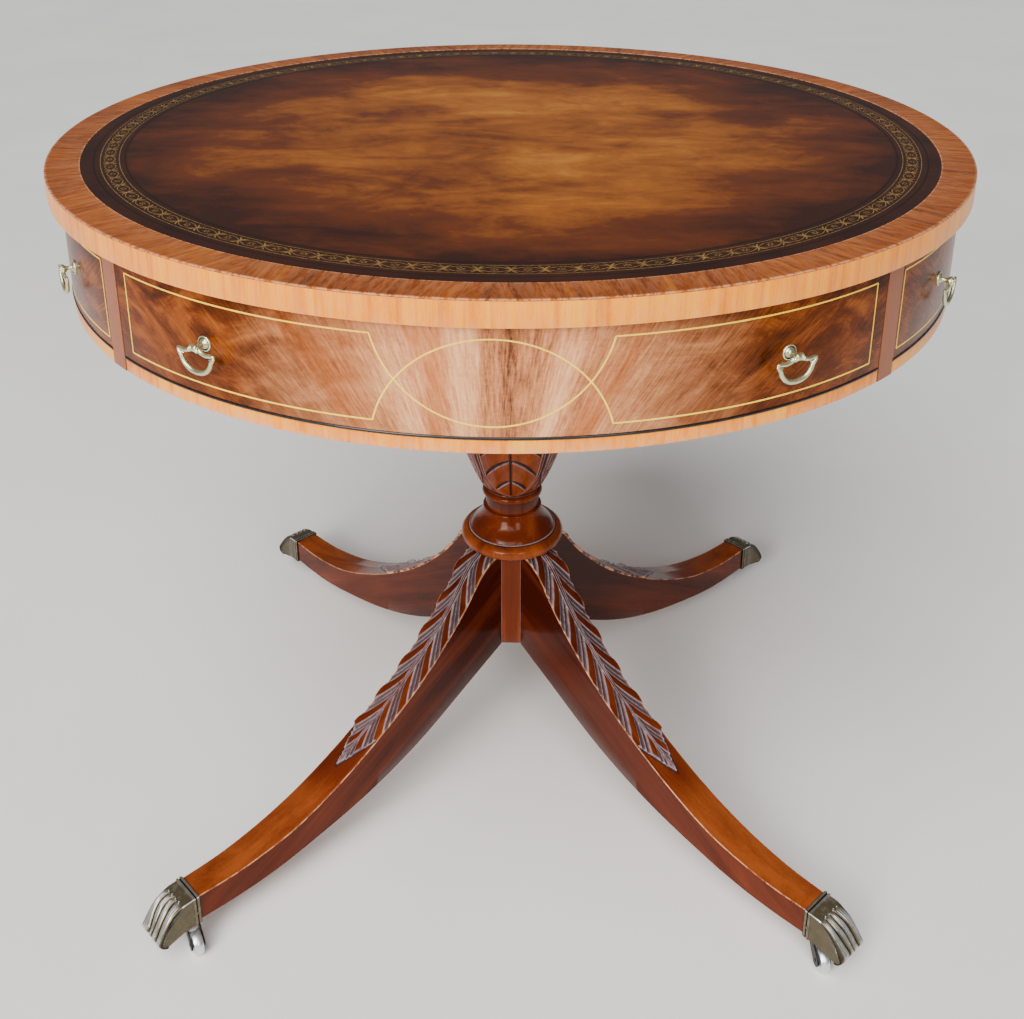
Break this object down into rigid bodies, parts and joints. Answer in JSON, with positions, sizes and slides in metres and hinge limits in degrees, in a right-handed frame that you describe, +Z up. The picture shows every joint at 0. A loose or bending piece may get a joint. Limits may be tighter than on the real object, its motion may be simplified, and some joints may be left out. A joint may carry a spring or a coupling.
{
  "type": "round pedestal table",
  "caption": "Round drum table: leather-topped crossbanded top over a curved drawer and false drawers, on a turned column with sabre legs, paw feet and casters.",
  "frame": {"origin": "on the floor under the middle of the round top", "axes": "+Z up; -Y is the side with the working drawer; +X to the right of someone facing that side"},
  "size_m": [0.9139, 0.914, 0.774],
  "materials": {
    "crossband": "polished crossbanded mahogany",
    "edge_band": "polished light mahogany with upright grain",
    "leather": "aniline brown hide, hand coloured, gilt tooled, semi-gloss",
    "core_wood": "plain secondary wood",
    "drawer_wood": "plain sanded light wood",
    "flame_veneer": "polished flame mahogany veneer",
    "stile_veneer": "polished straight-grained mahogany",
    "ebonised": "black ebonised bead, semi-gloss",
    "mahogany": "polished red-brown mahogany, carved and antiqued",
    "pull_brass": "aged pale brass casting",
    "paw_brass": "dark antiqued brass casting",
    "screw_steel": "plain steel",
    "caster_iron": "dark cast horn",
    "wheel_steel": "bright worn tread"
  },
  "bodies": {
    "table": {"top_board": "core_wood", "top_crossband": "crossband", "top_edge_band": "edge_band", "leather_top": "leather", "top_screws": "screw_steel", "drum_floor": "core_wood", "corner_blocks": "core_wood", "rail_left": "stile_veneer", "rail_right": "stile_veneer", "rail_rear": "stile_veneer", "false_front_left": "flame_veneer", "false_front_right": "flame_veneer", "false_front_rear": "flame_veneer", "drum_beads": "ebonised", "drum_bands": "edge_band", "drawer_guide_left": "core_wood", "drawer_guide_right": "core_wood", "drawer_stop": "core_wood", "drum_pull_posts": "pull_brass", "drum_pull_nuts": "pull_brass", "cap_block": "mahogany", "cap_screws": "screw_steel", "column": "mahogany", "leg_block": "mahogany", "leg_front_left": "mahogany", "leg_front_right": "mahogany", "leg_rear_right": "mahogany", "leg_rear_left": "mahogany", "paw_front_left": "paw_brass", "paw_front_right": "paw_brass", "paw_rear_right": "paw_brass", "paw_rear_left": "paw_brass", "paw_pins": "paw_brass"},
    "drawer": {"drawer_front": "core_wood", "drawer_veneer": "flame_veneer", "drawer_bead": "ebonised", "drawer_band": "edge_band", "drawer_side_left": "drawer_wood", "drawer_side_right": "drawer_wood", "drawer_back": "drawer_wood", "drawer_bottom": "drawer_wood", "drawer_pull_posts": "pull_brass", "drawer_pull_nuts": "pull_brass"},
    "bail_front_left": {"bail_front_left": "pull_brass"},
    "bail_front_right": {"bail_front_right": "pull_brass"},
    "bail_right_front": {"bail_right_front": "pull_brass"},
    "bail_right_rear": {"bail_right_rear": "pull_brass"},
    "bail_rear_right": {"bail_rear_right": "pull_brass"},
    "bail_rear_left": {"bail_rear_left": "pull_brass"},
    "bail_left_rear": {"bail_left_rear": "pull_brass"},
    "bail_left_front": {"bail_left_front": "pull_brass"},
    "caster_front_left": {"horn_front_left": "caster_iron"},
    "wheel_front_left": {"wheel_front_left": "wheel_steel"},
    "caster_front_right": {"horn_front_right": "caster_iron"},
    "wheel_front_right": {"wheel_front_right": "wheel_steel"},
    "caster_rear_right": {"horn_rear_right": "caster_iron"},
    "wheel_rear_right": {"wheel_rear_right": "wheel_steel"},
    "caster_rear_left": {"horn_rear_left": "caster_iron"},
    "wheel_rear_left": {"wheel_rear_left": "wheel_steel"}
  },
  "joints": [
    {"name": "drawer_slide", "type": "slide", "parent": "table", "child": "drawer", "axis": [0, -1, 0], "range_m": [0, 0.3]},
    {"name": "bail_front_left_swing", "type": "hinge", "parent": "drawer", "child": "bail_front_left", "pos_m": [-0.23075, -0.39331, 0.7035], "axis": [-0.8625, 0.506, 0], "range_deg": [-15, 100]},
    {"name": "bail_front_right_swing", "type": "hinge", "parent": "drawer", "child": "bail_front_right", "pos_m": [0.23075, -0.39331, 0.7035], "axis": [-0.8625, -0.506, 0], "range_deg": [-15, 100]},
    {"name": "bail_right_front_swing", "type": "hinge", "parent": "table", "child": "bail_right_front", "pos_m": [0.39331, -0.23075, 0.7035], "axis": [-0.506, -0.8625, 0], "range_deg": [-15, 100]},
    {"name": "bail_right_rear_swing", "type": "hinge", "parent": "table", "child": "bail_right_rear", "pos_m": [0.39331, 0.23075, 0.7035], "axis": [0.506, -0.8625, 0], "range_deg": [-15, 100]},
    {"name": "bail_rear_right_swing", "type": "hinge", "parent": "table", "child": "bail_rear_right", "pos_m": [0.23075, 0.39331, 0.7035], "axis": [0.8625, -0.506, 0], "range_deg": [-15, 100]},
    {"name": "bail_rear_left_swing", "type": "hinge", "parent": "table", "child": "bail_rear_left", "pos_m": [-0.23075, 0.39331, 0.7035], "axis": [0.8625, 0.506, 0], "range_deg": [-15, 100]},
    {"name": "bail_left_rear_swing", "type": "hinge", "parent": "table", "child": "bail_left_rear", "pos_m": [-0.39331, 0.23075, 0.7035], "axis": [0.506, 0.8625, 0], "range_deg": [-15, 100]},
    {"name": "bail_left_front_swing", "type": "hinge", "parent": "table", "child": "bail_left_front", "pos_m": [-0.39331, -0.23075, 0.7035], "axis": [-0.506, 0.8625, 0], "range_deg": [-15, 100]},
    {"name": "caster_front_left_swivel", "type": "hinge", "parent": "table", "child": "caster_front_left", "pos_m": [-0.3189, -0.3189, 0], "axis": [0, 0, 1], "continuous": true},
    {"name": "wheel_front_left_spin", "type": "hinge", "parent": "caster_front_left", "child": "wheel_front_left", "pos_m": [-0.3086, -0.33605, 0.0125], "axis": [0.8572, 0.515, 0], "continuous": true},
    {"name": "caster_front_right_swivel", "type": "hinge", "parent": "table", "child": "caster_front_right", "pos_m": [0.3189, -0.3189, 0], "axis": [0, 0, 1], "continuous": true},
    {"name": "wheel_front_right_spin", "type": "hinge", "parent": "caster_front_right", "child": "wheel_front_right", "pos_m": [0.32272, -0.33854, 0.0125], "axis": [0.9816, 0.1908, 0], "continuous": true},
    {"name": "caster_rear_right_swivel", "type": "hinge", "parent": "table", "child": "caster_rear_right", "pos_m": [0.3189, 0.3189, 0], "axis": [0, 0, 1], "continuous": true},
    {"name": "wheel_rear_right_spin", "type": "hinge", "parent": "caster_rear_right", "child": "wheel_rear_right", "pos_m": [0.31239, 0.33782, 0.0125], "axis": [-0.9455, -0.3256, 0], "continuous": true},
    {"name": "caster_rear_left_swivel", "type": "hinge", "parent": "table", "child": "caster_rear_left", "pos_m": [-0.3189, 0.3189, 0], "axis": [0, 0, 1], "continuous": true},
    {"name": "wheel_rear_left_spin", "type": "hinge", "parent": "caster_rear_left", "child": "wheel_rear_left", "pos_m": [-0.3005, 0.32672, 0.0125], "axis": [-0.3907, 0.9205, 0], "continuous": true}
  ]
}
